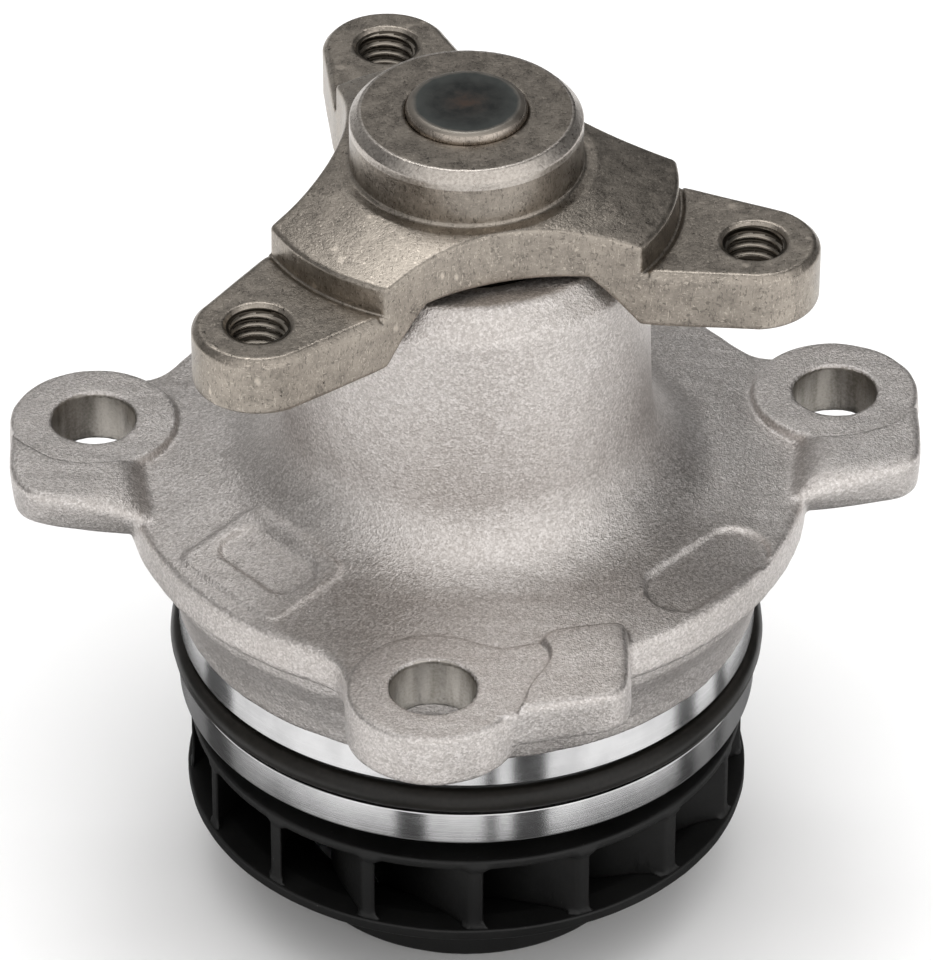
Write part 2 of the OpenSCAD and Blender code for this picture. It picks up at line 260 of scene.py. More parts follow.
def hull_planes(points):
    """Outward planes of the convex hull of some points, as rows of normal and offset."""
    bm = bmesh.new()
    for p in points:
        bm.verts.new(p)
    bmesh.ops.convex_hull(bm, input=bm.verts)
    middle = np.mean(points, 0)
    planes = {}
    for f in bm.faces:
        n = np.array(f.normal)
        offset = n @ np.array(f.verts[0].co)
        if n @ middle > offset:
            n, offset = -n, -offset
        planes[tuple(np.round(n, 2))] = (*n, offset)
    bm.free()
    return np.array(list(planes.values()))


def turned_by(x, y, angle):
    """Places seen from axes that are turned by an angle."""
    c, s = math.cos(angle), math.sin(angle)
    return x * c + y * s, y * c - x * s


def rounded_corner(a, b, r):
    """Distance to a corner of radius r, from the distances to its two sides moved in by r."""
    return np.minimum(np.maximum(a, b), 0) + np.hypot(np.maximum(a, 0), np.maximum(b, 0)) - r


def rounded_slab(plan, z, low, high, r):
    """A flat plate with rounded edges. plan is the distance to its outline."""
    return rounded_corner(plan + r, np.abs(z - (low + high) / 2) - (high - low) / 2 + r, r)


def rounded_patch(u, v, half, r, edge):
    """1 on a flat box with rounded corners and 0 off it, with a sloping edge."""
    box = rounded_corner(np.abs(u) - half[0] + r, np.abs(v) - half[1] + r, r)
    return 1 - ramp(box, -edge, edge)


def arc(cx, cy, r, start, end, n):
    """Points along a circle's arc, in degrees."""
    angles = np.radians(np.linspace(start, end, n + 1))
    return [(cx + r * math.cos(a), cy + r * math.sin(a)) for a in angles]


# ---------------------------------------------------------------- from distance to mesh

# Cells along each side of a block, and the corners and edges of one cell
NET_BLOCK = 8
CORNERS = np.array([(i, j, k) for i in (0, 1) for j in (0, 1) for k in (0, 1)])
EDGES = [(a, b) for a in range(8) for b in range(a + 1, 8) if np.abs(CORNERS[a] - CORNERS[b]).sum() == 1]


def in_batches(field, points, size=600000):
    """A distance at many points, some at a time to save memory."""
    return np.concatenate([field(points[i:i + size]) for i in range(0, len(points), size)])


def surface_net(field, low, high, step):
    """Vertices and quads where field is zero. Only blocks of cells near the surface are looked at."""
    low = np.array(low, float)
    count = np.ceil((np.array(high) - low) / (step * NET_BLOCK)).astype(int)
    blocks = np.stack(np.meshgrid(*map(np.arange, count), indexing="ij"), -1).reshape(-1, 3)
    middle = low + (blocks + 0.5) * NET_BLOCK * step
    blocks = blocks[np.abs(in_batches(field, middle)) < 1.1 * NET_BLOCK * step]
    line = np.arange(NET_BLOCK + 1)
    offsets = np.stack(np.meshgrid(line, line, line, indexing="ij"), -1).reshape(-1, 3)
    cells = count * NET_BLOCK + 1
    weight = np.array([cells[1] * cells[2], cells[2], 1])
    keys, places, quads = [], [], []
    for start in range(0, len(blocks), 1000):
        chunk = blocks[start:start + 1000]
        first = chunk * NET_BLOCK
        points = (first[:, None, :] + offsets) * step + low
        value = field(points.reshape(-1, 3)).reshape(-1, *[NET_BLOCK + 1] * 3)
        inside = value < 0
        total = sum(
            inside[:, i:NET_BLOCK + i, j:NET_BLOCK + j, k:NET_BLOCK + k].astype(np.int8)
            for i, j, k in CORNERS
        )
        b, i, j, k = np.nonzero((total > 0) & (total < 8))
        cell = np.stack([i, j, k], 1)
        corner = np.stack([value[b, i + c[0], j + c[1], k + c[2]] for c in CORNERS], 1)
        place, crossings = np.zeros((len(b), 3)), np.zeros(len(b))
        for e, f in EDGES:
            hit = (corner[:, e] < 0) != (corner[:, f] < 0)
            gap = np.where(hit, corner[:, e] - corner[:, f], 1)
            t = (corner[:, e] / gap)[:, None]
            place += hit[:, None] * (CORNERS[e] + t * (CORNERS[f] - CORNERS[e]))
            crossings += hit
        whole = first[b] + cell
        keys.append(whole @ weight)
        places.append((whole + place / crossings[:, None]) * step + low)
        for axis in range(3):
            u, v = np.eye(3, dtype=int)[[(axis + 1) % 3, (axis + 2) % 3]]
            ahead = np.eye(3, dtype=int)[axis]
            base = inside[:, :NET_BLOCK, :NET_BLOCK, :NET_BLOCK]
            other = inside[(slice(None), *(slice(o, NET_BLOCK + o) for o in ahead))]
            b, i, j, k = np.nonzero(base != other)
            at = first[b] + np.stack([i, j, k], 1)
            ring = np.stack([(at + o) @ weight for o in (-u - v, -v, 0 * u, -u)], 1)
            solid = base[b, i, j, k]
            quads.append(np.where(solid[:, None], ring, ring[:, ::-1]))
    keys, places, quads = np.concatenate(keys), np.concatenate(places), np.concatenate(quads)
    order = np.argsort(keys)
    keys, places = keys[order], places[order]
    found = np.searchsorted(keys, quads)
    whole = (keys[np.minimum(found, len(keys) - 1)] == quads).all(1)
    return places, found[whole]


def settle(field, points, step):
    """Moves points onto the surface, along the slope of the distance."""
    e = step * 0.2
    for _ in range(2):
        d = in_batches(field, points)
        slope = np.stack([in_batches(field, points + e * u) - d for u in np.eye(3)], 1) / e
        move = d / np.maximum((slope ** 2).sum(1), 0.3)
        points = points - np.clip(move, -step, step)[:, None] * slope
    return points


def mesh_from(name, points, faces):
    """An object from points in millimetres and faces that all have the same number of corners."""
    mesh = bpy.data.meshes.new(name)
    faces = np.asarray(faces)
    mesh.vertices.add(len(points))
    mesh.vertices.foreach_set("co", (np.asarray(points) * MM).astype(np.float32).ravel())
    mesh.loops.add(faces.size)
    mesh.loops.foreach_set("vertex_index", faces.ravel().astype(np.int32))
    mesh.polygons.add(len(faces))
    mesh.polygons.foreach_set("loop_start", np.arange(0, faces.size, faces.shape[1], dtype=np.int32))
    mesh.update(calc_edges=True)
    mesh.validate()
    mesh.polygons.foreach_set("use_smooth", np.ones(len(mesh.polygons), bool))
    obj = bpy.data.objects.new(name, mesh)
    bpy.context.scene.collection.objects.link(obj)
    return obj


TRIANGLES = 190000


def carved(name, field, low, high, step):
    """An object from a distance function, thinned to a number of triangles."""
    points, quads = surface_net(field, low, high, step)
    points = settle(field, points, step)
    points = np.clip(points, np.array(cad_low) / MM, np.array(cad_high) / MM)
    obj = mesh_from(name, points, quads)
    if 2 * len(quads) > TRIANGLES:
        thin = obj.modifiers.new("thin", "DECIMATE")
        thin.ratio = TRIANGLES / (2 * len(quads))
        apply_modifiers(obj)
    return obj


def apply_modifiers(obj):
    """Turns an object's modifiers into its mesh."""
    deps = bpy.context.evaluated_depsgraph_get()
    mesh = bpy.data.meshes.new_from_object(obj.evaluated_get(deps))
    obj.modifiers.clear()
    obj.data = mesh
    mesh.polygons.foreach_set("use_smooth", np.ones(len(mesh.polygons), bool))


def softened(corners, radius):
    """A profile with each corner rounded, by at most a share of its shorter edge."""
    p = np.array(corners, float)
    made = []
    for before, here, after in zip(np.roll(p, 1, 0), p, np.roll(p, -1, 0)):
        a, b = before - here, after - here
        la, lb = np.linalg.norm(a), np.linalg.norm(b)
        straight = abs(a[0] * b[1] - a[1] * b[0]) < 0.3 * la * lb and a @ b < 0
        cut = min(radius, 0.42 * la, 0.42 * lb)
        start, end = here + a / la * cut, here + b / lb * cut
        if straight:
            made.append(tuple(here))
            continue
        for t in np.linspace(0, 1, 4):
            made.append(tuple((1 - t) ** 2 * start + 2 * t * (1 - t) * here + t * t * end))
    return made


def lathe(name, profile, segments=256, wobble=0):
    """A solid of revolution from an anticlockwise profile of (radius, height), made uneven by wobble."""
    p = np.array(profile, float)
    turn = np.linspace(0, 2 * math.pi, segments, endpoint=False)
    points = np.stack([
        p[None, :, 0] * np.cos(turn)[:, None],
        p[None, :, 0] * np.sin(turn)[:, None],
        np.broadcast_to(p[None, :, 1], (segments, len(p))),
    ], -1).reshape(-1, 3)
    if wobble:
        out = points * [1, 1, 0] / np.maximum(np.hypot(points[:, 0], points[:, 1]), 1e-6)[:, None]
        uneven = wobble * (waves(points, 9, 1) + 0.6 * waves(points, 2.5, 2))
        points = points + out * uneven[:, None]
    i, j = np.meshgrid(np.arange(segments), np.arange(len(p)), indexing="ij")
    i2, j2 = (i + 1) % segments, (j + 1) % len(p)
    faces = [i * len(p) + j, i2 * len(p) + j, i2 * len(p) + j2, i * len(p) + j2]
    obj = mesh_from(name, points, np.stack(faces, -1).reshape(-1, 4))
    bm = bmesh.new()
    bm.from_mesh(obj.data)
    bmesh.ops.remove_doubles(bm, verts=bm.verts, dist=1e-6)
    bmesh.ops.recalc_face_normals(bm, faces=bm.faces)
    bm.to_mesh(obj.data)
    bm.free()
    obj.data.polygons.foreach_set("use_smooth", np.ones(len(obj.data.polygons), bool))
    obj.modifiers.new("flat_faces", "WEIGHTED_NORMAL")
    return obj


# ---------------------------------------------------------------- body casting

CASTING = outline(
    [(39.0, -14), (39.15, -13.2), (39.5, -11.3), (40.7, -7.5), (42.7, -3.4), (43.4, 0), (44.4, 0),
     (RIM_R, 1), (RIM_R, 4.6), (44.8, 5.5), (43.9, RIM_H)]
    + arc(35.5, 18.2, 11, 256, 180, 14)
    + [(23.8, 41.9), (23.5, 45.5), (16.8, 45.5), (15, 44.7), (15, 5.4), (13, 5.4), (13, -1),
       (18.2, -1), (18.2, -14), (22, -14), (23.5, -10), (30, -12), (32.1, -14)],
    soften=6,
)
BLOCK_PLANES = [
    hull_planes([(*p, BLOCK_LOW) for p in feet] + [(*p, BLOCK_H) for p in tops] + tips)
    for feet, tops, tips in zip(BLOCK_FEET, BLOCK_TOPS, BLOCK_TIPS)
]


def flange_plan(low=(-66.0, -68.0), size=(132, 120), step=0.25):
    """Outline of the flange and its lugs, blended where they meet."""
    x, y = flat_grid(low, [int(length / step) for length in size], step)
    grid = np.hypot(x, y) - RIM_R
    for cx, cy in LUGS:
        grid = smooth_min(grid, np.hypot(x - cx, y - cy) - LUG_R, LUG_BLEND)
    return Lookup(low, step, grid)


FLANGE_PLAN = flange_plan()


def lug_and_block(p, centre, planes):
    """A lug's raised pad, and the block beside it with a step down round the pad."""
    x, y, z = p.T
    dx, dy = x - centre[0], y - centre[1]
    from_lug = np.hypot(dx, dy)
    block = p @ planes[:, :3].T - planes[:, 3]
    block = 0.45 * np.log(np.exp(np.clip(block, -30, 30) / 0.45).sum(1))
    reach, plan = LUG_R + 0.25, from_lug - LUG_R + 0.1
    if centre == FRONT_LUG:
        # This pad runs on to its block, which it meets in a long S
        along = np.clip((dx * BRIDGE[0] + dy * BRIDGE[1]) / (BRIDGE[0] ** 2 + BRIDGE[1] ** 2), 0, 1)
        bridge = np.hypot(dx - BRIDGE[0] * along, dy - BRIDGE[1] * along) - BRIDGE_R
        reach, plan = reach + 0.7 + 4.4 * ramp(y, -53, -43), smooth_min(plan, bridge, 2.5)
    block = smooth_max(block, -np.maximum(from_lug - reach, LUG_H - z), 0.35)
    return np.minimum(rounded_slab(plan, z, 0.05, LUG_H, 0.6), block)


def casting(p):
    """The pump body above its spigot."""
    x, y, z = p.T
    r = np.hypot(x, y)
    rough = 0.05 * waves(p, 11, 3) + 0.035 * waves(p, 4.2, 4)
    # The tower's top edge is a flat chamfer with a crisp lower ridge
    cone = (r - TOWER_EDGE[0]) * TOWER_SLOPE[0] + (z - TOWER_EDGE[1]) * TOWER_SLOPE[1]
    cone = cone / math.hypot(*TOWER_SLOPE)
    d = smooth_max(CASTING(r, z), np.where(z > 36, cone, -9), 0.5)
    flange = rounded_slab(FLANGE_PLAN(x, y) + 0.15, z, 0, RIM_H - 0.1, 0.7)
    d = smooth_min(d, np.maximum(flange, FLANGE_IN_R - r), 1.0)
    on_top = ramp(z, 3, 5)
    # Raised label pad on the left, with a sunken middle
    u, v = turned_by(x - LABEL_AT[0], y - LABEL_AT[1], LABEL_TURN)
    pad = rounded_patch(u, v, LABEL_HALF, 2, 0.45)
    sunk = rounded_patch(u, v - SUNK_SHIFT, SUNK_HALF, 3, 0.45)
    d = d - on_top * (LABEL_HEIGHT * pad - SUNK_DEPTH * sunk)
    # Shallow recess with round ends on the right
    u, v = turned_by(x - RECESS_AT[0], y - RECESS_AT[1], RECESS_TURN)
    d = d + on_top * RECESS_DEPTH * rounded_patch(u, v, RECESS_HALF, RECESS_HALF[1], 0.3)
    for lug, planes in zip(LUGS, BLOCK_PLANES):
        from_lug = np.hypot(x - lug[0], y - lug[1])
        near = from_lug < LUG_NEAR
        if near.any():
            part = smooth_min(d[near], lug_and_block(p[near], lug, planes), 0.7)
            d[near] = smooth_max(part, HOLE_R - from_lug[near], 0.5)
    weep = p - WEEP_AT
    along = weep @ WEEP_AXIS
    across = np.sqrt(np.maximum((weep ** 2).sum(1) - along ** 2, 0))
    d = smooth_max(d, WEEP_R - across + np.where(along < 0, 9, 0), 0.5)
    return d + rough


# ---------------------------------------------------------------- hub

HUB_SIDE = outline(
    [(SHAFT_R - 0.02, 46.5), (21.8, 46.5), (PLATE_R, ARM_UNDER), (49, ARM_UNDER), (49, PAD_TOP),
     (PLATE_R + 0.9, PAD_TOP), (PLATE_R + 0.6, PAD_TOP - 0.35), (PLATE_R + 0.05, PAD_TOP - 0.35),
     (PLATE_R, 51.5), (PLATE_R - 0.4, 51.8), (17, 54.35), (BOSS_R + 0.3, 54.42), (BOSS_R, 54.75),
     (BOSS_R, 60.95), (BOSS_R - BOSS_CHAMFER, BOSS_TOP), (SHAFT_R + 0.3, BOSS_TOP),
     (SHAFT_R - 0.02, BOSS_TOP - 0.3)],
    step=0.06, soften=3,
)


def hub_plan(half=54.0, step=0.12):
    """Outline of the hub's three arms and the scalloped plate between them."""
    count = int(2 * half / step)
    x, y = flat_grid((-half, -half), (count, count), step)
    grid = np.hypot(x, y) - HUB_CORE_R
    for angle in ARM_ANGLES:
        u, v = turned_by(x, y, angle)
        side = (np.abs(v) - ARM_HALF_W) * math.cos(ARM_SLOPE) + u * math.sin(ARM_SLOPE)
        in_end = u > TAP_RING_R + ARM_END_R * math.sin(ARM_SLOPE)
        reach = np.where(in_end, np.hypot(u - TAP_RING_R, v) - ARM_END_R, -9)
        grid = np.minimum(grid, np.maximum(np.maximum(side, reach), -u))
    for angle in SCALLOP_ANGLES:
        u, v = turned_by(x, y, angle)
        grid = smooth_max(grid, SCALLOP_R - np.hypot(u - SCALLOP_AT, v), 0.5)
    return Lookup((-half, -half), step, grid)


HUB_PLAN = hub_plan()


def hub(p):
    """The pulley hub, with a small flat on its edges and its three tapped holes."""
    x, y, z = p.T
    r = np.hypot(x, y)
    side, plan = HUB_SIDE(r, z), HUB_PLAN(x, y)
    on_arm = ramp(r, 27.8, 28.4) * ramp(z, 44, 46)
    flat = 0.28 + 0.5 * on_arm
    d = smooth_max(np.maximum(side, plan), (side + plan + flat) * math.sqrt(0.5), 0.22)
    for angle in ARM_ANGLES:
        u, v = turned_by(x, y, angle)
        hole = np.hypot(u - TAP_RING_R, v)
        d = smooth_max(d, TAP_R - hole, 0.15)
        d = smooth_max(d, (TAP_MOUTH_R - hole + z - PAD_TOP) * math.sqrt(0.5), 0.15)
    return d + 0.02 * waves(p, 9, 7) * ramp(r, 16, 17)


# ---------------------------------------------------------------- impeller wheel

WHEEL_SIDE = outline(
    [(10.5, -49), (13.5, -50), (14.5, -48.5), (14.5, -38), (18, -34.6), (22, BACK_LOW),
     (BACK_R, BACK_LOW), (BACK_R, BACK_TOP), (14.5, BACK_TOP), (13.5, BACK_TOP + 1.2),
     (10.5, BACK_TOP + 1.2)],
    soften=4,
)
VANE_SIDE = outline(
    [(15, BACK_LOW + 0.4), (15, -46), (20, -52.4), (23.2, -51.4), (25.7, -48.4), (29.6, -45.4),
     (34.5, -43.8), (BACK_R, -43.8), (BACK_R, BACK_LOW + 0.4)],
    soften=2,
)


def wheel(p):
    """The impeller's back and its curved vanes, each with a little flash along its foot."""
    x, y, z = p.T
    r = np.hypot(x, y)
    spread = math.log(VANE_OUT_R / VANE_IN_R)
    share = np.log(np.clip(r, 12, 42) / VANE_IN_R) / spread
    pitch = 2 * math.pi / VANES
    off = np.arctan2(y, x) - VANE_START - VANE_SWEEP * (share - 1)
    off = (off + pitch / 2) % pitch - pitch / 2
    lean = math.atan(VANE_SWEEP / spread)
    thick = VANE_T / 2 * (0.35 + 0.65 * ramp(r, VANE_IN_R, VANE_IN_R + 3))
    foot = np.exp(-np.maximum(z - VANE_FOOT, 0) / 0.45) * ramp(r, 36, 37.3)
    flash = foot * (0.38 + 0.22 * waves(p, 1.5, 12))
    vane = np.abs(off) * r * math.cos(lean) - thick - flash
    vane = smooth_max(vane, VANE_SIDE(r, z) - 0.3 * foot, 0.35)
    return smooth_min(WHEEL_SIDE(r, z), vane, 0.8)


# ---------------------------------------------------------------- build the pieces


def placed(obj, body, material_slot, *nodes):
    """Rides an object on a body, and puts it in the place of CAD nodes."""
    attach(obj, body)
    if nodes:
        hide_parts(*nodes)
    return obj


body_casting = placed(
    carved("body_casting", casting, (-62.5, -63.5, -15), (62.5, 47, 46.5), 0.42),
    "housing", "cast_aluminium", "pump_body")

spigot_profile = softened([
    (32, -28.7), (LAND_R - 0.7, -28.7), (LAND_R, -27.9), (LAND_R, GROOVE_LOW), (GROOVE_R, GROOVE_LOW),
    (GROOVE_R, GROOVE_HIGH), (LAND_R - 0.1, GROOVE_HIGH), (LAND_R - 0.1, -11), (32, -11)], 0.22)
spigot = placed(lathe("body_spigot", spigot_profile, 360), "housing", "cast_aluminium", "pump_body")

o_ring_profile = [
    (O_RING_AT[0] + O_RING_R * math.cos(a), O_RING_AT[1] + O_RING_R * math.sin(a))
    for a in np.linspace(0, 2 * math.pi, 32, endpoint=False)]
o_ring = placed(
    lathe("o_ring", o_ring_profile, wobble=0.02), "housing", "o_ring_rubber", "body_o_ring")

pulley_hub = placed(
    carved("hub_forging", hub, (-49, -49, 38.5), (49, 49, 62.6), 0.24),
    "rotor", "hub_steel", "pulley_hub")


def thread(name, angle):
    """The helical thread that lines one tapped hole, as a thin sleeve."""
    around, low, high = 72, ARM_UNDER + 0.35, PAD_TOP - 0.45
    levels = int((high - low) / THREAD_PITCH * THREAD_STEPS)
    turn = np.linspace(0, 2 * math.pi, around, endpoint=False)
    a, b = np.meshgrid(turn, np.linspace(low, high, levels + 1))
    phase = (b / THREAD_PITCH - a / (2 * math.pi)) % 1
    depth = np.clip(2.9 * np.abs(phase - 0.5) - 0.2, 0, 0.85) / 0.85
    fade = ramp(b, high - 1.0, high) * 0.5
    inner = THREAD_CREST_R + THREAD_DEPTH * np.clip(depth + fade, 0, 1)
    walls = [np.stack([r * np.cos(a) + TAP_RING_R, r * np.sin(a), b], -1).reshape(-1, 3)
             for r in (inner, np.full_like(inner, THREAD_OUT_R))]
    n = (levels + 1) * around
    i, j = np.meshgrid(np.arange(levels), np.arange(around), indexing="ij")
    k = (j + 1) % around
    side = [i * around + j, (i + 1) * around + j, (i + 1) * around + k, i * around + k]
    side = np.stack(side, -1).reshape(-1, 4)
    j = np.arange(around)
    k = (j + 1) % around
    top = levels * around
    lower_end = np.stack([j, k, n + k, n + j], 1)
    upper_end = np.stack([top + k, top + j, n + top + j, n + top + k], 1)
    points = np.concatenate(walls)
    px, py = turned_by(points[:, 0], points[:, 1], -angle)
    faces = np.concatenate([side, side[:, ::-1] + n, lower_end, upper_end])
    return mesh_from(name, np.stack([px, py, points[:, 2]], 1), faces)


threads = [
    placed(thread(f"tapped_thread_{i + 1}", angle), "rotor", "hub_steel", "pulley_hub")
    for i, angle in enumerate(ARM_ANGLES)
]

shaft_profile = (
    [(0, -49), (6.96, -49), (SHAFT_R, -48)]
    + [(SHAFT_R, z) for z in (-20, 10, 40, 62.2)]
    + [(SHAFT_R - inward, SHAFT_TOP - below) for inward, below in SHAFT_CROWN]
    + [(3, SHAFT_TOP - 0.02), (0, SHAFT_TOP - 0.04)])
shaft = placed(
    lathe("bearing_shaft_turned", shaft_profile, 192), "rotor", "shaft_steel", "bearing_shaft")

impeller_wheel = placed(
    carved("impeller_vanes", wheel, (-38.5, -38.5, -53.5), (38.5, 38.5, -30.5), 0.33),
    "rotor", "impeller_plastic", "impeller_wheel")

shroud_profile = softened([
    (38.1, VANE_FOOT), (34.5, VANE_FOOT), (29.5, -45.4), (25.4, -48.4), (22.9, -51.4), (22, -54),
    (22, -60), (23.4, -60), (23.9, -59.5), (23.9, -54.6), (24.9, -51.8), (27, -49.2), (30.6, -46.9),
    (35, -45.4), (38.1, -45.4)], 0.35)
shroud = placed(
    lathe("impeller_shroud", shroud_profile, wobble=0.025),
    "rotor", "impeller_plastic", "impeller_front_shroud")

SLOTS = {row["node"]: row["material_slot"] for row in frame["record"]["subparts"]}
JOINTS = {row["name"]: row for row in frame["record"]["behaviour"]["joints"]}
seal_float = JOINTS["seal_float"]


def flexing(node):
    """A copy of the seal's spring or bellows, riding on the housing in the place of its CAD node."""
    piece = bpy.data.objects.new(f"{node}_flexing", frame["nodes"][node].data.copy())
    bpy.context.collection.objects.link(piece)
    placed(piece, "housing", SLOTS[node], node)
    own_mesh(piece)
    return piece


flexing_pieces = {
    row["node"]: flexing(row["node"]) for row in seal_float["deforming_nodes"]}

# ---------------------------------------------------------------- materials


def add_node(tree, kind, inputs, settings):
    """A shader node with some inputs linked or set."""
    node = tree.nodes.new(kind)
    for key, value in settings.items():
        setattr(node, key, value)
    for key, value in (inputs or {}).items():
        if isinstance(value, bpy.types.NodeSocket):
            tree.links.new(value, node.inputs[key])
        else:
            node.inputs[key].default_value = value
    return node


def shade(tint, times):
    """A colour made darker or lighter."""
    return tuple(min(1, times * c) for c in tint)


class Paint:
    """Short-hand for a node material on the Principled shader."""

    def __init__(self, name, **fixed):
        self.material = bpy.data.materials.new(name)
        self.material.use_nodes = True
        self.tree = self.material.node_tree
        self.shader = self.tree.nodes["Principled BSDF"]
        for key, value in fixed.items():
            self.shader.inputs[key.replace("_", " ")].default_value = value
        self.place = self.add("ShaderNodeTexCoord").outputs["Object"]

    def add(self, kind, inputs=None, **settings):
        return add_node(self.tree, kind, inputs, settings)

    def noise(self, scale, detail=3, rough=0.55, place=None, distort=0):
        return self.add("ShaderNodeTexNoise", {
            "Vector": place or self.place, "Scale": scale, "Detail": detail, "Roughness": rough,
            "Distortion": distort}).outputs["Fac"]

    def maths(self, operation, a, b):
        return self.add("ShaderNodeMath", {0: a, 1: b}, operation=operation).outputs[0]

    def times(self, a, b):
        return self.maths("MULTIPLY", a, b)

    def weighted(self, share, a, b):
        """A share of a, and the rest of b."""
        return self.maths("ADD", self.times(a, share), self.times(b, 1 - share))

    def scaled(self, vector):
        """The place in the object, stretched along its axes."""
        inputs = {0: self.place, 1: vector}
        return self.add("ShaderNodeVectorMath", inputs, operation="MULTIPLY").outputs[0]

    def band(self, value, low, high, to_low=0.0, to_high=1.0):
        """The value mapped from one range to another, and kept inside it."""
        return self.add("ShaderNodeMapRange", {
            "Value": value, "From Min": low, "From Max": high,
            "To Min": to_low, "To Max": to_high}).outputs[0]

    def colours(self, value, *stops):
        """A colour ramp, from stops of (position, colour)."""
        node = self.add("ShaderNodeValToRGB", {"Fac": value})
        ramp_stops = node.color_ramp.elements
        while len(ramp_stops) < len(stops):
            ramp_stops.new(0.5)
        for stop, (at, colour) in zip(ramp_stops, stops):
            stop.position, stop.color = at, (*colour, 1)
        return node.outputs["Color"]

    def mix(self, share, a, b, blend="MIX"):
        node = self.add("ShaderNodeMix", data_type="RGBA", blend_type=blend)
        for socket, value in ((node.inputs[0], share), (node.inputs[6], a), (node.inputs[7], b)):
            if isinstance(value, bpy.types.NodeSocket):
                self.tree.links.new(value, socket)
            else:
                socket.default_value = value if isinstance(value, float) else (*value, 1)
        return node.outputs[2]

    def radius(self):
        """Distance from the shaft's axis, in metres."""
        flat = self.scaled((1, 1, 0))
        return self.add("ShaderNodeVectorMath", {0: flat}, operation="LENGTH").outputs["Value"]

    def height(self):
        """Height along the shaft's axis, in metres."""
        return self.add("ShaderNodeSeparateXYZ", {0: self.place}).outputs["Z"]

    def rings(self, scale, detail=3):
        """Fine turned lines: noise that depends only on radius and height."""
        place = self.add("ShaderNodeCombineXYZ", {0: self.radius(), 1: self.height(), 2: 0.0}).outputs[0]
        return self.noise(scale, detail, 0.6, place)

    def cells(self, scale):
        """Small grains: a random number for each, and the distance from its middle."""
        node = self.add("ShaderNodeTexVoronoi", {"Vector": self.place, "Scale": scale}, feature="F1")
        number = self.add("ShaderNodeSeparateColor", {"Color": node.outputs["Color"]}).outputs[0]
        return number, node.outputs["Distance"]

    def strokes(self, scale, cut, *directions):
        """Short thin scratches along several directions, where stretched noise rises above a cut."""
        total = None
        for direction in directions:
            mark = self.noise(scale, 1, 0.5, self.scaled(direction), 0.4)
            mark = self.band(mark, cut, cut + 0.05)
            total = mark if total is None else self.maths("MAXIMUM", total, mark)
        return total

    def edges(self, low, high):
        """1 along convex edges."""
        return self.band(self.add("ShaderNodeNewGeometry").outputs["Pointiness"], low, high)

    def bump(self, value, depth, strength, below=None):
        """A bump of some depth in metres, on top of the bump below."""
        inputs = {"Height": value, "Distance": depth, "Strength": strength}
        if below is not None:
            inputs["Normal"] = below
        return self.add("ShaderNodeBump", inputs).outputs["Normal"]

    def set(self, colour, rough=None, normal=None):
        for key, value in (("Base Color", colour), ("Roughness", rough), ("Normal", normal)):
            if value is not None:
                self.tree.links.new(value, self.shader.inputs[key])
        return self.material


def cast_aluminium():
    """Blasted aluminium: fine packed grains of slightly different brightness, with a soft cloudiness and
    painted glints.
    """
    m = Paint("cast_aluminium", Metallic=1.0)
    grain, middle = m.cells(4300)
    fine = m.noise(4800, 2, 0.6)
    medium = m.noise(2300, 3, 0.6)
    blotch = m.noise(60, 4, 0.6)
    base = m.colours(
        m.weighted(0.35, grain, medium),
        (0.3, (0.47, 0.441, 0.422)), (0.5, (0.605, 0.575, 0.556)), (0.7, (0.79, 0.76, 0.745)))
    cloud = m.colours(blotch, (0.3, (0.92, 0.905, 0.89)), (0.7, (1.0, 0.995, 0.99)))
    base = m.mix(1.0, base, cloud, "MULTIPLY")
    # Painted glints: bright specks in the colour that stand in for sparkling light
    painted_glint = m.band(m.noise(1500, 1, 0.5), 0.80, 0.84)
    base = m.mix(painted_glint, base, (0.97, 0.95, 0.94))
    pit = m.band(m.noise(560, 1, 0.5), 0.12, 0.16)
    base = m.mix(pit, (0.12, 0.11, 0.10), base)
    rough = m.band(m.maths("ADD", grain, blotch), 0.6, 1.4, 0.36, 0.50)
    normal = m.bump(medium, 0.00021, 0.5)
    normal = m.bump(middle, 0.00006, 0.5, normal)
    normal = m.bump(fine, 0.00014, 0.5, normal)
    return m.set(base, rough, normal)


def machined_aluminium():
    """Bright turned aluminium with dull clouds and small dark marks."""
    m = Paint("machined_aluminium", Metallic=1.0)
    lines = m.rings(9000, 2)
    dull = m.noise(130, 3)
    base = m.colours(dull, (0.35, (0.5, 0.5, 0.505)), (0.6, (0.66, 0.66, 0.665)))
    speck = m.band(m.noise(1500, 2), 0.22, 0.27)
    base = m.mix(speck, (0.4, 0.39, 0.37), base)
    rough = m.band(m.weighted(0.5, lines, dull), 0.3, 0.7, 0.1, 0.22)
    return m.set(base, rough, m.bump(lines, 0.000012, 0.5))


def drilled_shaded_aluminium():
    """The streaky drilled walls of the lugs' holes, made darker with painted shade."""
    m = Paint("drilled_shaded_aluminium", Metallic=1.0)
    streak = m.noise(520, 3, 0.6, m.scaled((1, 1, 0.12)))
    fine = m.noise(2600, 2, 0.6)
    base = m.colours(
        m.weighted(0.6, streak, fine), (0.36, (0.21, 0.195, 0.17)), (0.64, (0.46, 0.43, 0.395)))
    normal = m.bump(streak, 0.00006, 0.5)
    normal = m.bump(fine, 0.00008, 0.5, normal)
    return m.set(base, m.band(fine, 0.35, 0.65, 0.32, 0.46), normal)


# Scale of the fine lines that turning leaves on steel
TURNED_LINES = 5200


